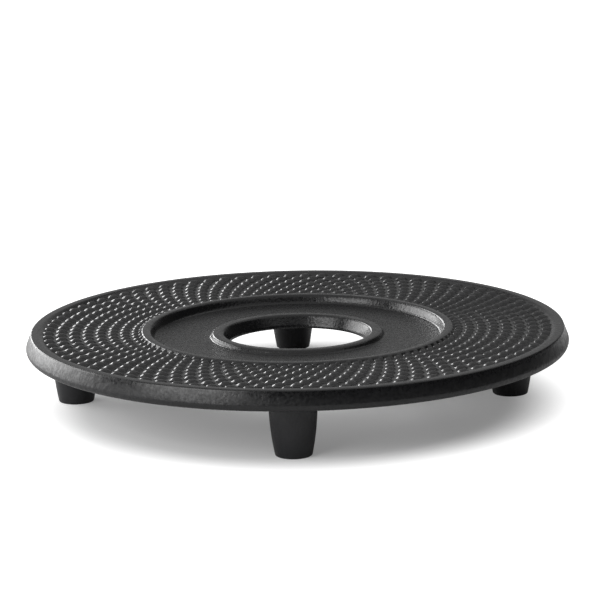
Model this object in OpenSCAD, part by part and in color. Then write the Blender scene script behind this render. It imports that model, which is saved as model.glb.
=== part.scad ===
// Round cast trivet: a smooth rounded rim, a sunk band of hobnails, a raised
// ring round a shallow well, a lipped hole through the middle, and four cast
// pegs underneath, each with a rubber foot pushed over it.
// Origin: on the table, under the middle of the hole. +Z is up, -Y is the front.

/* [Overall] */
// Diameter over the rounded rim
trivet_d = 150; // [142:1:180]
// Height from the table to the top of the rim
trivet_h = 20.2; // [18:0.1:30]

/* [Rim] */
// Height of the rounded edge, from the flat border to the underside
rim_h = 5.4; // [5:0.1:8]
// How far the rounded edge reaches out past the flat border
nose_w = 1.5; // [0.8:0.1:3]
// Depth of the widest point of the edge below the border
nose_drop = 2.8; // [1.5:0.1:4]
// Width of the flat smooth border
border_w = 2.1; // [1:0.1:4]
// Width of the step from the border down to the band
border_step_w = 0.4; // [0.2:0.1:1]

/* [Hobnail band] */
// Nails in each ring
nail_count = 88; // [60:2:90]
// Rings of nails
ring_count = 8; // [4:1:8]
// Diameter of the ball that rounds a nail in the outermost ring
nail_ball_d = 4; // [2.4:0.1:4]
// Height at which such a nail stands out of the band
nail_h = 0.8; // [0.4:0.05:1.2]
// Smooth strip between the outermost nails and the border's step
nail_margin = 0.5; // [0.4:0.05:1]
// Smooth strip between the innermost nails and the ring's slope
nail_in_margin = 0.1; // [0.05:0.05:0.5]
// Angle by which the first nail stands to the right of the front
nail_turn = 1.86; // [0:0.01:4]
// Depth of the band below the border
band_drop = 0.95; // [0.3:0.05:1.2]

/* [Raised ring] */
// Diameter over the flat top of the ring
ring_d = 85.5; // [80:0.1:96]
// Width of the flat top of the ring
ring_w = 1.8; // [1:0.1:4]
// Height of the ring above the band beside it
ring_h = 0.55; // [0.4:0.05:1.5]
// Width of the ring's outer slope
ring_slope_w = 0.8; // [0.5:0.1:2]
// Diameter of the beads that stand against the outer slope
bead_d = 1.6; // [1.4:0.1:1.7]
// Depth of the tops of the beads below the ring
bead_drop = 0.1; // [0.05:0.05:0.3]

/* [Well] */
// Depth of the well below the top of the ring
well_drop = 2.4; // [1:0.1:2.8]
// Width of the slope down into the well
well_slope_w = 1.65; // [0.8:0.05:4]

/* [Hole] */
// Diameter of the hole through the middle
hole_d = 37.8; // [24:0.2:44]
// Width of the raised lip round the hole
lip_w = 5.4; // [4:0.1:7]
// Height of the lip above the well
lip_h = 1.1; // [0.4:0.05:1.8]
// Width of the lip's outer slope
lip_slope_w = 1.1; // [0.6:0.1:1.8]
// Width of the rounding from the lip into the hole
lip_round_w = 1.9; // [0.5:0.1:2]
// Depth of the rounding from the lip into the hole
lip_round_h = 1.8; // [0.3:0.1:2.2]
// Radius that softens the lower edge of the hole
hole_edge_r = 0.5; // [0.2:0.1:1]

/* [Underside] */
// Depth of the hollow cast under the band
relief_drop = 1; // [0.4:0.1:1.2]
// Width of the sloping sides of the hollow
relief_slope_w = 1.2; // [0.6:0.1:2]
// Width of the full-height strip between the hollow and the rounded edge
rim_wall_w = 3.5; // [2:0.1:4]

/* [Feet] */
// Distance from the edge of the rim in to the middle of a foot
foot_inset = 14.7; // [14.7:0.1:19]
// How far the set of feet sits to the right of the plate's middle
foot_shift_x = -1.4; // [-2:0.1:2]
// How far the set of feet sits behind the plate's middle
foot_shift_y = -0.9; // [-2:0.1:2]
// Diameter of a rubber foot at its top
foot_top_d = 12.7; // [12:0.1:14]
// Diameter of a rubber foot half way up
foot_mid_d = 12; // [11:0.1:12.6]
// Diameter of a rubber foot at its sole
foot_sole_d = 9.8; // [9:0.1:12]
// Radius round the edge of the sole
sole_edge_r = 0.4; // [0.3:0.1:2]
// Rubber between the end of the peg and the table
sole_t = 3; // [2:0.1:5]
// Width of the cast pad that shows round the top of a foot
pad_margin = 0.6; // [0.2:0.1:1]
// Diameter of a cast peg at its pad
peg_root_d = 8.2; // [7:0.1:9]
// Diameter of a cast peg at its end
peg_tip_d = 5.8; // [4:0.1:6.5]
// Radius round the end of a peg
peg_edge_r = 0.8; // [0.2:0.1:1.2]
// Gap left round a peg inside the rubber
peg_clearance = 0.05; // [0.02:0.01:0.2]

/* [Hidden] */
NODES = ["plate", "front_foot", "right_foot", "back_foot", "left_foot"];

// Steps in a rounded profile, and facets round the plate and round small parts
arc_steps = 8;
plate_facets = 176;
foot_facets = 48;
nail_facets = 16;

// How far a peg's pad is sunk into the plate
pad_sink = 0.2;

// Direction of the front, and so of the first foot
front_turn = -90;

// Radii of the plate's profile, from the rim inward
border_out_r = trivet_d / 2 - nose_w;
border_in_r = border_out_r - border_w;
band_out_r = border_in_r - border_step_w;
ring_out_r = ring_d / 2;
band_in_r = ring_out_r + ring_slope_w;
ring_in_r = ring_out_r - ring_w;
well_r = ring_in_r - well_slope_w;
hole_r = hole_d / 2;
lip_out_r = hole_r + lip_w;
lip_in_r = hole_r + lip_round_w;

// Heights of the plate's profile above the table
under_z = trivet_h - rim_h;
nose_z = trivet_h - nose_drop;
band_z = trivet_h - band_drop;
ring_z = band_z + ring_h;
well_z = ring_z - well_drop;
lip_z = well_z + lip_h;
relief_z = under_z + relief_drop;

// The hollow under the band keeps clear of the ring and of the rounded edge
relief_in_r = ring_out_r;
relief_out_r = border_out_r - rim_wall_w;

// The rings of nails crowd together a little toward the middle, and the nails
// shrink with the room between them
crowd_share = 0.07;
shrink_share = 0.8;
nail_foot_r = sqrt(nail_h * (nail_ball_d - nail_h));
nail_out_r = band_out_r - nail_margin - nail_foot_r;
nail_in_foot_r = nail_foot_r * pow(band_in_r / nail_out_r, shrink_share);
nail_in_r = band_in_r + nail_in_margin + nail_in_foot_r;
nail_pitch = 360 / nail_count;
nail_start = front_turn + nail_turn;
bead_r = ring_out_r + ring_slope_w / 2;

// Feet
foot_count = len(NODES) - 1;
foot_pitch = 360 / foot_count;
foot_r = trivet_d / 2 - foot_inset;
pad_d = foot_top_d + 2 * pad_margin;

// Points of an arc of an ellipse, from one angle to another
function arc_points(r, z, across, up, from, to) =
    [for (i = [0 : arc_steps])
        let (a = from + (to - from) * i / arc_steps)
        [r + across * cos(a), z + up * sin(a)]];

// Points of a soft slope that starts and ends level
function slope_points(r_from, z_from, r_to, z_to) =
    [for (i = [0 : arc_steps])
        let (t = i / arc_steps, fall = (1 - cos(180 * t)) / 2)
        [r_from + (r_to - r_from) * t, z_from + (z_to - z_from) * fall]];

// Radius of a ring of nails, and how far its nails are scaled down
function ring_step(i) = i / (ring_count - 1);
function nail_r(i) =
    let (t = ring_step(i))
    nail_out_r - (nail_out_r - nail_in_r) * (t + crowd_share * t * (1 - t * t));
function nail_scale(r) = pow(r / nail_out_r, shrink_share);

// Radius of a rubber foot at a share of its height, through its three diameters
function foot_side_r(t) =
    foot_sole_d / 2 * (1 - t) * (1 - 2 * t)
    + foot_mid_d / 2 * 4 * t * (1 - t)
    + foot_top_d / 2 * t * (2 * t - 1);

// Outline of the plate, turned once round the middle
module plate_profile() {
    polygon(concat(
        arc_points(hole_r + hole_edge_r, under_z + hole_edge_r,
            hole_edge_r, hole_edge_r, 180, 270),
        [[relief_in_r, under_z]],
        [[relief_in_r + relief_slope_w, relief_z]],
        [[relief_out_r - relief_slope_w, relief_z]],
        [[relief_out_r, under_z]],
        arc_points(border_out_r, nose_z, nose_w, rim_h - nose_drop, -90, 0),
        arc_points(border_out_r, nose_z, nose_w, nose_drop, 0, 90),
        [[border_in_r, trivet_h]],
        [[band_out_r, band_z]],
        [[band_in_r, band_z]],
        [[ring_out_r, ring_z]],
        slope_points(ring_in_r, ring_z, well_r, well_z),
        slope_points(lip_out_r, well_z, lip_out_r - lip_slope_w, lip_z),
        arc_points(lip_in_r, lip_z - lip_round_h, lip_round_w, lip_round_h, 90, 180)
    ));
}

// One ring of balls, sunk in the plate so that only their tops stand out
module ball_ring(r, top_z, ball_d, turn) {
    for (k = [0 : nail_count - 1])
        rotate([0, 0, turn + k * nail_pitch])
            translate([r, 0, top_z - ball_d / 2])
                sphere(d = ball_d, $fn = nail_facets);
}

// Rings of nails, each turned half a pitch from the one outside it
module nails() {
    for (i = [0 : ring_count - 1])
        ball_ring(nail_r(i), band_z + nail_h * nail_scale(nail_r(i)),
            nail_ball_d * nail_scale(nail_r(i)), nail_start + i * nail_pitch / 2);
}

// Beads half sunk in the ring's outer slope, one more step inward
module edge_beads() {
    ball_ring(bead_r, ring_z - bead_drop, bead_d, nail_start + ring_count * nail_pitch / 2);
}

// A cast peg, from its end up into the plate
module peg() {
    tip_r = peg_tip_d / 2;
    rotate_extrude($fn = foot_facets)
        polygon(concat(
            [[0, sole_t]],
            arc_points(tip_r - peg_edge_r, sole_t + peg_edge_r, peg_edge_r, peg_edge_r, -90, 0),
            [[peg_root_d / 2, under_z]],
            [[pad_d / 2, under_z]],
            [[pad_d / 2, relief_z + pad_sink]],
            [[0, relief_z + pad_sink]]
        ));
}

// Puts its children at a foot's place
module at_foot(i) {
    translate([foot_shift_x, foot_shift_y, 0])
        rotate([0, 0, front_turn + i * foot_pitch])
            translate([foot_r, 0, 0])
                children();
}

// The casting, in one piece with its nails and pegs
module plate() {
    color([0.16, 0.16, 0.17]) {
        rotate_extrude($fn = plate_facets) plate_profile();
        nails();
        edge_beads();
        for (i = [0 : foot_count - 1]) at_foot(i) peg();
    }
}

// A rubber foot, bored to fit over its peg and seated against the pad
module foot() {
    bore_tip_r = peg_tip_d / 2 + peg_clearance;
    bore_root_r = peg_root_d / 2 + peg_clearance;
    bore_z = sole_t - peg_clearance;
    color([0.1, 0.1, 0.11])
        rotate_extrude($fn = foot_facets)
            polygon(concat(
                [[0, 0]],
                arc_points(foot_sole_d / 2 - sole_edge_r, sole_edge_r,
                    sole_edge_r, sole_edge_r, -90, 0),
                [for (k = [1 : arc_steps])
                    let (t = k / arc_steps)
                    [foot_side_r(t), sole_edge_r + (under_z - sole_edge_r) * t]],
                [[bore_root_r, under_z]],
                arc_points(bore_tip_r - peg_edge_r, bore_z + peg_edge_r,
                    peg_edge_r, peg_edge_r, 0, -90),
                [[0, bore_z]]
            ));
}

module front_foot() {
    at_foot(0) foot();
}

module right_foot() {
    at_foot(1) foot();
}

module back_foot() {
    at_foot(2) foot();
}

module left_foot() {
    at_foot(3) foot();
}

plate();
front_foot();
right_foot();
back_foot();
left_foot();
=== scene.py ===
import math

import bpy
import numpy as np
from mathutils import Matrix, Vector


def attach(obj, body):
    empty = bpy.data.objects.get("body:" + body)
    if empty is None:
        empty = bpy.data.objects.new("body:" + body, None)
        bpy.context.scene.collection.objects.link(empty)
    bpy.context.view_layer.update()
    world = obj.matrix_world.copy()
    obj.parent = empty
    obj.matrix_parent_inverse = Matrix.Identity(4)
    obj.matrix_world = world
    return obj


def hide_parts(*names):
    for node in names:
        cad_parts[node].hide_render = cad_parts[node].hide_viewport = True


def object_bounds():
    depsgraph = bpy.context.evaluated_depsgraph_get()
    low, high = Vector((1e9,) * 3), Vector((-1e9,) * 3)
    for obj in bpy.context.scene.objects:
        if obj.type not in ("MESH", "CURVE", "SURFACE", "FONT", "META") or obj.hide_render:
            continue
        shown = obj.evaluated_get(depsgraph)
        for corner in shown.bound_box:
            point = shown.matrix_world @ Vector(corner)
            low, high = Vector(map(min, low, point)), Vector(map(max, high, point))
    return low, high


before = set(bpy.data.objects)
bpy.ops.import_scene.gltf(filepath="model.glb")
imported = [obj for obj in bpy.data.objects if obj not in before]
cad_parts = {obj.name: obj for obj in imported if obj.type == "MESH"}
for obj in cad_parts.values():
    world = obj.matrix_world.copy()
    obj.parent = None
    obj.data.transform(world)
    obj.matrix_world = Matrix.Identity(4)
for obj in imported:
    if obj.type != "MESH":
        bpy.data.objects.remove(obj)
cad_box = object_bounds()

# The casting: one piece of sand-cast iron with a smooth rounded rim, a dished
# band of hobnails, a raised ring round a shallow well, a lipped hole, and four
# pads with pegs underneath. It is finished all over in black satin enamel.
MM = 0.001
top_z = cad_box[1][2]
rim_r = cad_box[1][0]
rim_h = 5.4 * MM
under_z = top_z - rim_h

# The flat border, and the rim's side: a small round, a slanted side that is
# widest low down, and a fuller round under it
border_out_r = rim_r - 1.5 * MM
border_in_r = border_out_r - 2.1 * MM
rim_edge_r = border_out_r - 0.2 * MM
rim_edge_round = 0.45 * MM
side_top_r, side_top_z = border_out_r + 0.33 * MM, top_z - 0.6 * MM
side_foot_r, side_foot_z = rim_r - 0.05 * MM, top_z - 3.55 * MM
belly_round = 1.25 * MM
belly_z = top_z - 3.9 * MM

# The band, the raised ring and the well
ring_out_r = 42.75 * MM
ring_in_r = ring_out_r - 1.8 * MM
ring_z = top_z - 0.4 * MM
band_out_r = border_in_r - 2.1 * MM
band_out_z = top_z - 0.9 * MM
band_in_r = ring_out_r + 0.8 * MM
band_in_z = top_z - 1.2 * MM
well_r = ring_in_r - 1.65 * MM
well_z = ring_z - 2.4 * MM

# The hole, its flared wall and the lip
hole_r = 18.9 * MM
hole_edge_r = 0.5 * MM
lip_out_r = hole_r + 5.4 * MM
lip_edge_r = lip_out_r - 1.1 * MM
lip_z = well_z + 1.1 * MM
lip_crest_r = hole_r + 2.1 * MM
lip_round_w, lip_round_h = 0.8 * MM, 0.9 * MM
flare_top_r, flare_top_z = hole_r + 1.23 * MM, lip_z - 0.8 * MM

# The hollow cast under the band
relief_z = under_z + 1.0 * MM
relief_in_r = ring_out_r
relief_out_r = border_out_r - 3.5 * MM
relief_slope = 1.2 * MM

# The nails: rings of balls sunk in the band, smaller toward the middle, and a
# last ring of beads against the raised ring. Each strays a little in the sand.
nail_count = 88
nail_rings = 8
nail_ball_r = 2.35 * MM
nail_h = 0.84 * MM
nail_out_r = 68.9 * MM
nail_in_r = 44.6 * MM
nail_crowding = 0.07
nail_shrink = 0.8
nail_stray = 0.03 * MM
nail_unlike = 0.02
bead_r = 43.15 * MM
bead_ball_r = 1.1 * MM
bead_drop = 0.1 * MM
front = -math.pi / 2
first_nail = front + math.radians(1.86)

# The rings' radii: the share of the way in, plus the crowding times the share
# times (1 less the share squared)
share = np.arange(nail_rings) / (nail_rings - 1)
nail_ring_r = nail_out_r - (nail_out_r - nail_in_r) * (
    share + nail_crowding * share * (1 - share * share))

# A nail's foot is rounded into the floor, out to the reach times the rounding.
# The height of a ball where there is none is far below the floor.
nail_foot_round = 0.1 * MM
blend_reach = 8
no_ball_z = -1.0

# Columns and rows of the mesh: twelve columns to a nail, six rows from one ring
# of nails to the next, and a third of the columns where the casting is plain.
# Points of a profile that are closer than the shortest step are one.
fine_columns = nail_count * 12
plain_columns = fine_columns // 3
nail_steps = 6
shortest_step = 1e-7


def arc(r, z, across, up, start, end, steps):
    """Points (r + across cos a, z + up sin a) for a from start to end degrees."""
    a = np.radians(np.linspace(start, end, steps))
    return np.stack([r + across * np.cos(a), z + up * np.sin(a)], 1)


def slope(r0, z0, r1, z1, steps):
    """Points from (r0, z0) to (r1, z1), with r in even steps and z by half a
    cosine, (1 - cos pi t) / 2."""
    t = np.linspace(0, 1, steps)
    bend = (1 - np.cos(math.pi * t)) / 2
    return np.stack([r0 + (r1 - r0) * t, z0 + (z1 - z0) * bend], 1)


def line(r0, z0, r1, z1, steps):
    """Points spaced evenly from (r0, z0) to (r1, z1)."""
    return np.stack([np.linspace(r0, r1, steps), np.linspace(z0, z1, steps)], 1)


def joined(*runs):
    """The runs end to end, with each repeated point left out."""
    points = np.concatenate(runs)
    step = np.hypot(*np.diff(points, axis=0).T)
    return points[np.concatenate([[True], step > shortest_step])]


def turned(profile, columns):
    """The point (r cos a, r sin a, z) for each profile point and each of the
    evenly spaced angles a, as an array of rows by columns by 3."""
    a = first_nail + np.arange(columns) * 2 * math.pi / columns
    r, z = profile[:, :1], profile[:, 1:]
    return np.stack([r * np.cos(a), r * np.sin(a), z + 0 * a], 2)


def strip(lower, upper):
    """Quads between two rows of vertex numbers with as many columns."""
    return np.stack([lower, np.roll(lower, -1), np.roll(upper, -1), upper], 1)


def fan_strip(coarse, fine):
    """Between a row and one with three times the columns: on each coarse edge,
    two triangles at its ends and a quad between them."""
    thirds = fine.reshape(-1, 3)
    next_fine, next_coarse = np.roll(thirds[:, 0], -1), np.roll(coarse, -1)
    tris = np.concatenate([np.stack([coarse, thirds[:, 1], thirds[:, 0]], 1),
                           np.stack([next_coarse, next_fine, thirds[:, 2]], 1)])
    quads = np.stack([coarse, next_coarse, thirds[:, 2], thirds[:, 1]], 1)
    return tris, quads


def closed_turn(profile, columns, x, y):
    """A closed shell turned round an upright axis at (x, y), from a profile that
    starts and ends on the axis, as its points and its quads and triangles."""
    ring = turned(profile[1:-1], columns)
    ids = np.arange(len(ring) * columns).reshape(len(ring), columns)
    poles = np.array([[0, 0, profile[0, 1]], [0, 0, profile[-1, 1]]])
    points = np.concatenate([ring.reshape(-1, 3), poles]) + np.array([x, y, 0])
    first, last = ids.size, ids.size + 1
    quads = np.concatenate([strip(ids[j], ids[j + 1]) for j in range(len(ring) - 1)])
    caps = np.concatenate([
        np.stack([np.roll(ids[0], -1), ids[0], np.full(columns, first)], 1),
        np.stack([ids[-1], np.roll(ids[-1], -1), np.full(columns, last)], 1)])
    return points, quads, caps


def mesh_object(name, points, faces, smooth=True):
    """A mesh object from points and a list of face arrays, quads or triangles."""
    mesh = bpy.data.meshes.new(name)
    sizes = np.concatenate([np.full(len(f), f.shape[1]) for f in faces])
    loops = np.concatenate([f.ravel() for f in faces])
    mesh.vertices.add(len(points))
    mesh.vertices.foreach_set("co", np.asarray(points, np.float32).ravel())
    mesh.loops.add(len(loops))
    mesh.loops.foreach_set("vertex_index", loops.astype(np.int32))
    mesh.polygons.add(len(sizes))
    starts = np.concatenate([[0], np.cumsum(sizes)[:-1]]).astype(np.int32)
    mesh.polygons.foreach_set("loop_start", starts)
    mesh.polygons.foreach_set("use_smooth", np.full(len(sizes), smooth))
    mesh.update(calc_edges=True)
    mesh.validate()
    piece = bpy.data.objects.new(name, mesh)
    bpy.context.scene.collection.objects.link(piece)
    return piece


def band_floor(r):
    """Height of the band without its nails at radius r: a straight dish, plus the
    rise to the ring times a quarter sine to the power 1.5, plus the rise to the
    border times the mean of its share t and of t's smooth step."""
    t = np.clip((r - band_in_r) / (band_out_r - band_in_r), 0, 1)
    floor = band_in_z + (band_out_z - band_in_z) * t
    to_ring = np.clip((band_in_r - r) / (band_in_r - ring_out_r), 0, 1)
    floor = floor + (ring_z - band_in_z) * np.sin(to_ring * math.pi / 2) ** 1.5
    t = np.clip((r - band_out_r) / (border_in_r - band_out_r), 0, 1)
    return floor + (top_z - floor) * (t + t * t * (3 - 2 * t)) / 2


def band_height(r, a):
    """Height of the band at radius r and angle a: the higher of its floor and of
    the balls, each its middle's height plus the root of (its radius squared less
    the distance squared). Where the two cross they are rounded together: half
    of (their sum plus the length (gap, soft)), less the amount by which that is
    too high at the reach of the rounding."""
    pitch = 2 * math.pi / nail_count
    dice = np.random.default_rng(11)
    balls = np.full(np.broadcast(r, a).shape, no_ball_z)
    for i in range(nail_rings + 1):
        ring_r = nail_ring_r[min(i, nail_rings - 1)]
        scale = (ring_r / nail_out_r) ** nail_shrink
        ball_r, stand = nail_ball_r * scale, nail_h * scale
        base = np.interp(ring_r, [band_in_r, band_out_r], [band_in_z, band_out_z])
        if i == nail_rings:
            ring_r, ball_r, base, stand = bead_r, bead_ball_r, ring_z, -bead_drop
        turn = a - first_nail - i * pitch / 2
        k = np.round(turn / pitch).astype(int) % nail_count
        outward, onward, bigger, taller = dice.normal(0, 1, (4, nail_count))
        out_r = ring_r + nail_stray * outward[k]
        size = ball_r * (1 + nail_unlike * bigger[k])
        high = base + stand * (1 + nail_unlike * taller[k])
        off = turn - np.round(turn / pitch) * pitch + nail_stray * onward[k] / ring_r
        far = r * r + out_r * out_r - 2 * r * out_r * np.cos(off)
        ball = high - size + np.sqrt(np.maximum(size * size - far, 0))
        balls = np.maximum(balls, np.where(far < size * size, ball, no_ball_z))
    floor = band_floor(r)
    gap, soft = floor - balls, nail_foot_round
    rounded = (floor + balls + np.sqrt(gap * gap + soft * soft)) / 2 - soft / (4 * blend_reach)
    return np.where(np.abs(gap) < blend_reach * soft, rounded, np.maximum(floor, balls))


def band_normals(r, a, near):
    """Unit normals of the band: (-dz/dx, -dz/dy, 1) from the height's slopes out
    from the middle and along the turn, each taken over near both ways."""
    out = (band_height(r + near, a) - band_height(r - near, a)) / (2 * near)
    along = (band_height(r, a + near / r) - band_height(r, a - near / r)) / (2 * near)
    normals = np.stack([along * np.sin(a) - out * np.cos(a),
                        -along * np.cos(a) - out * np.sin(a),
                        np.ones_like(out)], 2)
    return normals / np.linalg.norm(normals, axis=2, keepdims=True)


# The plain part, from the border over the rim, the underside and the hole to
# the raised ring
plain_run = joined(
    line(border_in_r, top_z, rim_edge_r, top_z, 4),
    arc(rim_edge_r, top_z - rim_edge_round, rim_edge_round, rim_edge_round, 90, 20, 6),
    line(side_top_r, side_top_z, side_foot_r, side_foot_z, 6),
    arc(rim_r - belly_round, belly_z, belly_round, belly_z - under_z, 6, -90, 10),
    line(rim_r - belly_round, under_z, relief_out_r, under_z, 2),
    slope(relief_out_r, under_z, relief_out_r - relief_slope, relief_z, 5),
    line(relief_out_r - relief_slope, relief_z, relief_in_r + relief_slope, relief_z, 3),
    slope(relief_in_r + relief_slope, relief_z, relief_in_r, under_z, 5),
    line(relief_in_r, under_z, hole_r + hole_edge_r, under_z, 3),
    arc(hole_r + hole_edge_r, under_z + hole_edge_r, hole_edge_r, hole_edge_r, 270, 180, 5),
    line(hole_r, under_z + hole_edge_r, flare_top_r, flare_top_z, 5),
    arc(lip_crest_r, lip_z - lip_round_h, lip_round_w, lip_round_h, 150, 90, 6),
    line(lip_crest_r, lip_z, lip_edge_r, lip_z, 3),
    slope(lip_edge_r, lip_z, lip_out_r, well_z, 7),
    line(lip_out_r, well_z, well_r, well_z, 4),
    slope(well_r, well_z, ring_in_r, ring_z, 9),
    line(ring_in_r, ring_z, ring_out_r, ring_z, 3),
)
plain = turned(plain_run, plain_columns)

# The band, from the ring out to the border, with rows close together on the
# ring's slope and on the rise to the border
band_a = (first_nail + np.arange(fine_columns) * 2 * math.pi / fine_columns)[None, :]
ring_rows = ring_out_r + np.array([0.15, 0.35, 0.6, 0.85, 1.15, 1.5]) * MM
nail_rows = np.interp(np.arange(nail_steps * (nail_rings - 1), -1, -1) / nail_steps,
                      np.arange(nail_rings), nail_ring_r)
past_nails_r, rise_r = nail_out_r + 0.45 * MM, nail_out_r + 0.6 * MM
rise_rows = np.linspace(rise_r, border_in_r, 8)[:-1]
band_r = np.concatenate([ring_rows, nail_rows, [past_nails_r], rise_rows])[:, None]
band = np.stack([band_r * np.cos(band_a), band_r * np.sin(band_a),
                 band_height(band_r, band_a)], 2)

plain_ids = np.arange(plain[..., 0].size).reshape(plain.shape[:2])
band_ids = plain_ids.size + np.arange(band[..., 0].size).reshape(band.shape[:2])
quads = [strip(ids[i], ids[i + 1])[:, ::-1]
         for ids in (plain_ids, band_ids) for i in range(len(ids) - 1)]
in_tris, in_quads = fan_strip(plain_ids[-1], band_ids[0])
out_tris, out_quads = fan_strip(plain_ids[0], band_ids[-1])
quads += [in_quads[:, ::-1], out_quads]
tris = [in_tris[:, ::-1], out_tris]
points = np.concatenate([plain.reshape(-1, 3), band.reshape(-1, 3)])

# The pads and tapered pegs, cast on under the band
foot_r = 60.3 * MM
foot_shift = np.array([-1.4, -0.9]) * MM
foot_names = ["front_foot", "right_foot", "back_foot", "left_foot"]
foot_places = [foot_shift + foot_r * np.array([math.cos(front + i * math.pi / 2),
                                               math.sin(front + i * math.pi / 2)])
               for i in range(len(foot_names))]
foot_columns = 72
sole_t = 3.0 * MM
pad_r = 6.95 * MM
pad_top_z = relief_z + 0.2 * MM
peg_root_r, peg_tip_r, peg_edge = 4.1 * MM, 2.9 * MM, 0.8 * MM
peg_profile = joined(
    line(0, sole_t, peg_tip_r - peg_edge, sole_t, 3),
    arc(peg_tip_r - peg_edge, sole_t + peg_edge, peg_edge, peg_edge, -90, 0, 5),
    line(peg_tip_r, sole_t + peg_edge, peg_root_r, under_z, 4),
    line(peg_root_r, under_z, pad_r, under_z, 2),
    line(pad_r, under_z, pad_r, pad_top_z, 3),
    line(pad_r, pad_top_z, 0, pad_top_z, 2),
)
for x, y in foot_places:
    peg_points, peg_quads, peg_caps = closed_turn(peg_profile, foot_columns, x, y)
    quads.append(peg_quads + len(points))
    tris.append(peg_caps + len(points))
    points = np.concatenate([points, peg_points])

# The band is shaded by the formula's own normals, the rest by its faces (zeros)
normal_reach = 0.03 * MM
casting = mesh_object("casting", points, [np.concatenate(quads), np.concatenate(tris)])
shading = np.zeros((len(points), 3))
shading[band_ids.ravel()] = band_normals(band_r, band_a, normal_reach).reshape(-1, 3)
casting.data.normals_split_custom_set_from_vertices(shading)
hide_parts("plate")
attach(casting, "root")


def linear(colour):
    """The linear RGBA of an sRGB hex colour: each part over 12.92 when it is nearly
    black, and else (part + 0.055) / 1.055 to the power 2.4."""
    parts = [int(colour[i:i + 2], 16) / 255 for i in (1, 3, 5)]
    return [p / 12.92 if p <= 0.04045 else ((p + 0.055) / 1.055) ** 2.4 for p in parts] + [1.0]


def add_node(material, kind, inputs=(), **settings):
    """Adds a node, sets its settings, and sets or links each (socket, value)."""
    node = material.node_tree.nodes.new(kind)
    for key, value in settings.items():
        setattr(node, key, value)
    for socket, value in inputs:
        if isinstance(value, bpy.types.NodeSocket):
            material.node_tree.links.new(value, node.inputs[socket])
        else:
            node.inputs[socket].default_value = value
    return node


def new_material(name):
    """An empty node material with its output."""
    material = bpy.data.materials.new(name)
    material.use_nodes = True
    material.node_tree.nodes.clear()
    return material, material.node_tree.nodes.new("ShaderNodeOutputMaterial")


# Black satin enamel over sand-cast iron: nearly black, with a soft gloss. The
# sand's grain shows most on the well's floor, the rim's side is duller and
# lumpy, and the enamel lies smooth over the nails. The strengths are shares of
# the depth, and each fade is the two radii that a change lies between.
enamel_black = "#0c0c0e"
grain_mm, grain_depth = 0.75, 0.14 * MM
lump_mm, lump_depth = 2.6, 0.12 * MM
grain_on_well, grain_on_walls, band_share, grain_on_side = 1.3, 0.5, 0.06, 0.5
lumps_inside, lumps_on_side = 0.12, 1.3
dull_inside, dull_side = 0.24, 0.42
least_uneven, most_uneven = -0.05, 0.1
noise_low, noise_high = 0.35, 0.65
well_mid_r, well_half_w, well_fade = (lip_out_r + well_r) / 2, (well_r - lip_out_r) / 2, 0.9 * MM
ring_fade = ring_in_r + 0.05 * MM, ring_out_r + 0.25 * MM
side_fade = border_out_r + 0.1 * MM, rim_r - 0.2 * MM
lump_fade = border_out_r - 0.1 * MM, border_out_r + 0.7 * MM

enamel, enamel_out = new_material("black satin enamel on sand-cast iron")
place = add_node(enamel, "ShaderNodeTexCoord")
grain = add_node(enamel, "ShaderNodeTexNoise", [
    ("Vector", place.outputs["Object"]), ("Scale", 1 / (grain_mm * MM)),
    ("Detail", 2.0), ("Roughness", 0.5)])
lumps = add_node(enamel, "ShaderNodeTexNoise", [
    ("Vector", place.outputs["Object"]), ("Scale", 1 / (lump_mm * MM)), ("Detail", 2.0)])
level_place = add_node(enamel, "ShaderNodeVectorMath", [
    (0, place.outputs["Object"]), (1, (1, 1, 0))], operation="MULTIPLY")
radius = add_node(enamel, "ShaderNodeVectorMath", [
    (0, level_place.outputs[0])], operation="LENGTH")
past_mid = add_node(enamel, "ShaderNodeMath", [
    (0, radius.outputs["Value"]), (1, well_mid_r)], operation="SUBTRACT")
from_mid = add_node(enamel, "ShaderNodeMath", [(0, past_mid.outputs[0])], operation="ABSOLUTE")
on_well = add_node(enamel, "ShaderNodeMapRange", [
    ("Value", from_mid.outputs[0]),
    ("From Min", well_half_w - well_fade), ("From Max", well_half_w + well_fade),
    ("To Min", grain_on_well), ("To Max", grain_on_walls)])
inside_ring = add_node(enamel, "ShaderNodeMapRange", [
    ("Value", radius.outputs["Value"]), ("From Min", ring_fade[0]), ("From Max", ring_fade[1]),
    ("To Min", 1.0), ("To Max", band_share)])
inside = add_node(enamel, "ShaderNodeMath", [
    (0, on_well.outputs["Result"]), (1, inside_ring.outputs["Result"])], operation="MULTIPLY")
on_side = add_node(enamel, "ShaderNodeMapRange", [
    ("Value", radius.outputs["Value"]), ("From Min", side_fade[0]), ("From Max", side_fade[1]),
    ("To Min", 0.0), ("To Max", grain_on_side)])
grain_strength = add_node(enamel, "ShaderNodeMath", [
    (0, inside.outputs[0]), (1, on_side.outputs["Result"])], operation="ADD")
grain_bump = add_node(enamel, "ShaderNodeBump", [
    ("Height", grain.outputs["Fac"]), ("Strength", grain_strength.outputs[0]),
    ("Distance", grain_depth)])
lump_strength = add_node(enamel, "ShaderNodeMapRange", [
    ("Value", radius.outputs["Value"]), ("From Min", lump_fade[0]), ("From Max", lump_fade[1]),
    ("To Min", lumps_inside), ("To Max", lumps_on_side)])
lump_bump = add_node(enamel, "ShaderNodeBump", [
    ("Height", lumps.outputs["Fac"]), ("Strength", lump_strength.outputs["Result"]),
    ("Distance", lump_depth), ("Normal", grain_bump.outputs["Normal"])])
dullness = add_node(enamel, "ShaderNodeMapRange", [
    ("Value", radius.outputs["Value"]), ("From Min", side_fade[0]), ("From Max", side_fade[1]),
    ("To Min", dull_inside), ("To Max", dull_side)])
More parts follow.
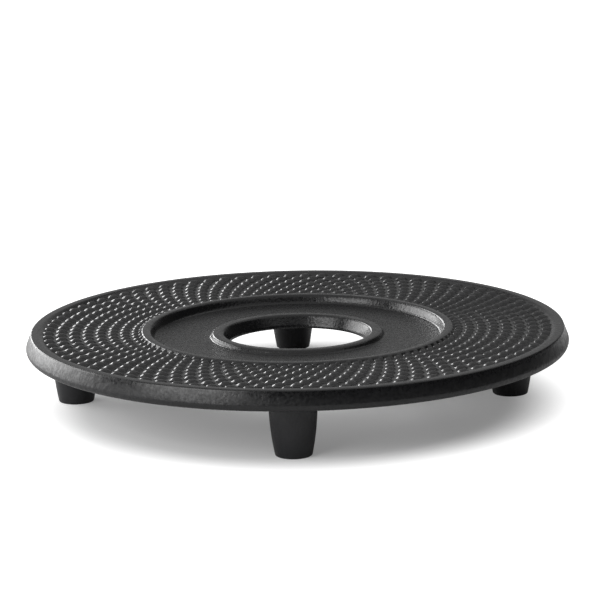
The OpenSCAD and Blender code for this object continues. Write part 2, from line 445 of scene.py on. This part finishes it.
uneven = add_node(enamel, "ShaderNodeMapRange", [
    ("Value", grain.outputs["Fac"]), ("From Min", noise_low), ("From Max", noise_high),
    ("To Min", least_uneven), ("To Max", most_uneven)])
roughness = add_node(enamel, "ShaderNodeMath", [
    (0, dullness.outputs["Result"]), (1, uneven.outputs["Result"])], operation="ADD")
enamel_skin = add_node(enamel, "ShaderNodeBsdfPrincipled", [
    ("Base Color", linear(enamel_black)), ("Roughness", roughness.outputs[0]),
    ("IOR", 1.5), ("Normal", lump_bump.outputs["Normal"])])
enamel.node_tree.links.new(enamel_skin.outputs["BSDF"], enamel_out.inputs["Surface"])
casting.data.materials.append(enamel)

# The rubber feet: moulded black rubber caps, pushed over the cast pegs and
# seated against the pads. They taper to a sole with a small rounded edge.
sole_r, middle_r, foot_top_r = 4.9 * MM, 6.0 * MM, 6.35 * MM
sole_edge = 0.4 * MM
peg_gap = 0.05 * MM
bore_tip_r, bore_end_z = peg_tip_r + peg_gap, sole_t - peg_gap


def foot_side(t):
    """Radius at a share t of the height: the parabola through the three radii."""
    return (sole_r * (1 - t) * (1 - 2 * t) + middle_r * 4 * t * (1 - t)
            + foot_top_r * t * (2 * t - 1))


side_t = np.linspace(0, 1, 20)
side = np.stack([foot_side(side_t), sole_edge + (under_z - sole_edge) * side_t], 1)
foot_profile = joined(
    line(0, 0, sole_r - sole_edge, 0, 4),
    arc(sole_r - sole_edge, sole_edge, sole_edge, sole_edge, -90, 0, 8),
    side,
    line(foot_top_r, under_z, peg_root_r + peg_gap, under_z, 2),
    line(peg_root_r + peg_gap, under_z, bore_tip_r, bore_end_z + peg_edge, 4),
    arc(bore_tip_r - peg_edge, bore_end_z + peg_edge, peg_edge, peg_edge, 0, -90, 5),
    line(bore_tip_r - peg_edge, bore_end_z, 0, bore_end_z, 3),
)

# Moulded black rubber: a dull sheen, a fine skin from the mould, and faint
# cloudy patches where the rubber has bloomed. The skin is drawn coarser than
# the real one, which would be too fine to show.
rubber_black, bloom_black = "#161619", "#1b1b1e"
bloom_mm = 5.0
mould_grain_mm, mould_grain_depth, mould_grain_share = 0.6, 0.06 * MM, 0.4
least_dull, most_dull = 0.4, 0.5
rubber, rubber_out = new_material("moulded black rubber")
rubber_place = add_node(rubber, "ShaderNodeTexCoord")
bloom = add_node(rubber, "ShaderNodeTexNoise", [
    ("Vector", rubber_place.outputs["Object"]), ("Scale", 1 / (bloom_mm * MM)),
    ("Detail", 3.0)])
bloom_share = add_node(rubber, "ShaderNodeMapRange", [
    ("Value", bloom.outputs["Fac"]), ("From Min", noise_low), ("From Max", noise_high)])
bloomed = add_node(rubber, "ShaderNodeMix", [
    ("Factor", bloom_share.outputs["Result"]),
    (6, linear(rubber_black)), (7, linear(bloom_black))], data_type="RGBA")
mould_grain = add_node(rubber, "ShaderNodeTexNoise", [
    ("Vector", rubber_place.outputs["Object"]), ("Scale", 1 / (mould_grain_mm * MM)),
    ("Detail", 2.0)])
rubber_roughness = add_node(rubber, "ShaderNodeMapRange", [
    ("Value", mould_grain.outputs["Fac"]), ("From Min", noise_low), ("From Max", noise_high),
    ("To Min", least_dull), ("To Max", most_dull)])
rubber_bump = add_node(rubber, "ShaderNodeBump", [
    ("Height", mould_grain.outputs["Fac"]), ("Strength", mould_grain_share),
    ("Distance", mould_grain_depth)])
rubber_skin = add_node(rubber, "ShaderNodeBsdfPrincipled", [
    ("Base Color", bloomed.outputs[2]), ("Roughness", rubber_roughness.outputs["Result"]),
    ("IOR", 1.5), ("Normal", rubber_bump.outputs["Normal"])])
rubber.node_tree.links.new(rubber_skin.outputs["BSDF"], rubber_out.inputs["Surface"])

for name, (x, y) in zip(foot_names, foot_places):
    foot_points, foot_quads, foot_caps = closed_turn(foot_profile, foot_columns, x, y)
    foot = mesh_object("rubber_" + name, foot_points, [foot_quads, foot_caps])
    foot.data.materials.append(rubber)
    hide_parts(name)
    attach(foot, "root")

# The floor: one large sheet of matt white paper. It glows white to the camera away from the
# trivet, and its glow is turned down in a soft disc round the trivet, a painted shadow laid over
# the real one that the lamps cast. What glosses reflect of it glows brightest well to the left,
# a painted reflection.
floor_half = 3000 * MM
paper_white = "#dddddd"
# Painted shadow: the floor's glow falls to shade_level inside these radii, round a middle moved
# by shade_shift
shade_in_r, shade_out_r, shade_level = 56 * MM, 81 * MM, 0.2
shade_shift = (0, 6 * MM, 0)
# Where the painted reflection in the floor fades from full strength to its plain level
far_left_x, near_left_x, plain_mirror = -250 * MM, -80 * MM, 0.2
corners = np.array([[-1, -1, 0], [1, -1, 0], [1, 1, 0], [-1, 1, 0]]) * floor_half
floor = mesh_object("floor", corners, [np.array([[0, 1, 2, 3]])], smooth=False)
paper, paper_out = new_material("white paper sweep")
sheet = add_node(paper, "ShaderNodeBsdfDiffuse", [("Color", linear(paper_white))])
where = add_node(paper, "ShaderNodeTexCoord")
shifted = add_node(paper, "ShaderNodeVectorMath", [
    (0, where.outputs["Object"]), (1, shade_shift)], operation="ADD")
reach = add_node(paper, "ShaderNodeVectorMath", [(0, shifted.outputs[0])], operation="LENGTH")
glow_with_painted_shadow = add_node(paper, "ShaderNodeMapRange", [
    ("Value", reach.outputs["Value"]), ("From Min", shade_in_r), ("From Max", shade_out_r),
    ("To Min", shade_level), ("To Max", 1.0)], interpolation_type="SMOOTHSTEP")
lift = add_node(paper, "ShaderNodeEmission", [
    ("Color", (1, 1, 1, 1)), ("Strength", glow_with_painted_shadow.outputs["Result"])])
# Painted reflection: glossy rays see the floor glow at full strength far to the left, falling to
# plain_mirror near the trivet
spot = add_node(paper, "ShaderNodeSeparateXYZ", [(0, where.outputs["Object"])])
painted_reflection_side = add_node(paper, "ShaderNodeMapRange", [
    ("Value", spot.outputs["X"]), ("From Min", far_left_x), ("From Max", near_left_x),
    ("To Min", 1.0), ("To Max", plain_mirror)])
path = add_node(paper, "ShaderNodeLightPath")
painted_reflection = add_node(paper, "ShaderNodeMath", [
    (0, path.outputs["Is Glossy Ray"]), (1, painted_reflection_side.outputs["Result"])],
    operation="MULTIPLY")
seen = add_node(paper, "ShaderNodeMath", [
    (0, path.outputs["Is Camera Ray"]), (1, painted_reflection.outputs[0])], operation="MAXIMUM")
seen_through = add_node(paper, "ShaderNodeMath", [
    (0, seen.outputs[0]), (1, path.outputs["Is Transmission Ray"])], operation="MAXIMUM")
lift_on = add_node(paper, "ShaderNodeMixShader", [
    (0, seen_through.outputs[0]), (2, lift.outputs["Emission"])])
both = add_node(paper, "ShaderNodeAddShader", [
    (0, sheet.outputs["BSDF"]), (1, lift_on.outputs["Shader"])])
paper.node_tree.links.new(both.outputs["Shader"], paper_out.inputs["Surface"])
floor.data.materials.append(paper)

# The room: dim, with a pale wall behind that the flat parts of the casting
# reflect, and white to the camera
wall_heading = (-0.07, 0.997, 0.035)
wall_edge, dim_level, wall_level = 0.74, 0.055, 0.4
world = bpy.data.worlds.new("studio room")
bpy.context.scene.world = world
world.use_nodes = True
heading = add_node(world, "ShaderNodeTexCoord")
nearness = add_node(world, "ShaderNodeVectorMath", [
    (0, heading.outputs["Generated"]), (1, wall_heading)], operation="DOT_PRODUCT")
behind = add_node(world, "ShaderNodeMapRange", [
    ("Value", nearness.outputs["Value"]), ("From Min", wall_edge), ("From Max", 1.0),
    ("To Min", dim_level), ("To Max", wall_level)])
room_path = add_node(world, "ShaderNodeLightPath")
room_level = add_node(world, "ShaderNodeMath", [
    (0, behind.outputs["Result"]), (1, room_path.outputs["Is Camera Ray"])],
    operation="MAXIMUM")
backdrop = world.node_tree.nodes["Background"]
backdrop.inputs["Color"].default_value = (1, 1, 1, 1)
world.node_tree.links.new(room_level.outputs[0], backdrop.inputs["Strength"])


def heading_to(azimuth, rise):
    """The unit vector at an azimuth from +X and a rise above the floor, in degrees."""
    a, e = math.radians(azimuth), math.radians(rise)
    return Vector((math.cos(e) * math.cos(a), math.cos(e) * math.sin(a), math.sin(e)))


def softbox(name, place, aim, size, power):
    """An area lamp at place, turned to face aim, which the camera doesn't see."""
    lamp = bpy.data.lights.new(name, "AREA")
    lamp.shape, lamp.size, lamp.size_y, lamp.energy = "RECTANGLE", size[0], size[1], power
    holder = bpy.data.objects.new(name, lamp)
    holder.visible_camera = False
    holder.location = place
    holder.rotation_euler = (Vector(aim) - Vector(place)).to_track_quat("-Z", "Y").to_euler()
    bpy.context.scene.collection.objects.link(holder)
    return holder


def slanted_softbox(name, facing, distance, start, end, width, power):
    """A softbox in the heading facing, with its long side from start toward end."""
    length = (end - start).length * distance
    lamp = softbox(name, facing * distance, (0, 0, 0), (length, width), power)
    along = end - start
    along = (along - facing * along.dot(facing)).normalized()
    lamp.matrix_world = Matrix.Translation(facing * distance) @ Matrix(
        (along, facing.cross(along), facing)).transposed().to_4x4()


# The lamps, in metres and watts: a large dim one overhead, one for the front left
# of the rim, and two slanted ones at the back left that put glints on the nails
softbox("top softbox", place=(0, 0, 1.1), aim=(0, 0, 0), size=(2.4, 2.4), power=11.0)
softbox("front left softbox", place=heading_to(222, 27), aim=(0, 0, 0.02),
        size=(0.7, 0.5), power=4.6)
slanted_softbox("left softbox", facing=heading_to(149, 12), distance=1.0,
                start=heading_to(104, 2), end=heading_to(161, 40), width=0.5, power=8.0)
slanted_softbox("back strip", facing=heading_to(118, 21), distance=2.9,
                start=heading_to(103, 3), end=heading_to(133, 38), width=0.5, power=22.0)

# The camera, from the photograph: a long lens a little above the plate
aim = Vector((0.9 * MM, 0, 27.25 * MM))
distance = 801.7 * MM
elevation = math.radians(12.475)
roll = math.radians(-1.047)
focal_px, frame_px = 2900.53325, 600
sensor_mm = 36.0
nearest = 10 * MM
backward = Vector((0, -math.cos(elevation), math.sin(elevation)))
right = Vector((1, 0, 0))
up = backward.cross(right)
turned_right = right * math.cos(roll) + up * math.sin(roll)
turned_up = up * math.cos(roll) - right * math.sin(roll)
axes = Matrix((turned_right, turned_up, backward)).transposed().to_4x4()
camera = bpy.data.objects.new("camera", bpy.data.cameras.new("camera"))
camera.data.sensor_width = sensor_mm
camera.data.lens = sensor_mm * focal_px / frame_px
camera.data.clip_start = nearest
camera.matrix_world = Matrix.Translation(aim + backward * distance) @ axes
bpy.context.scene.collection.objects.link(camera)
bpy.context.scene.camera = camera
bpy.context.scene.view_settings.view_transform = "Standard"
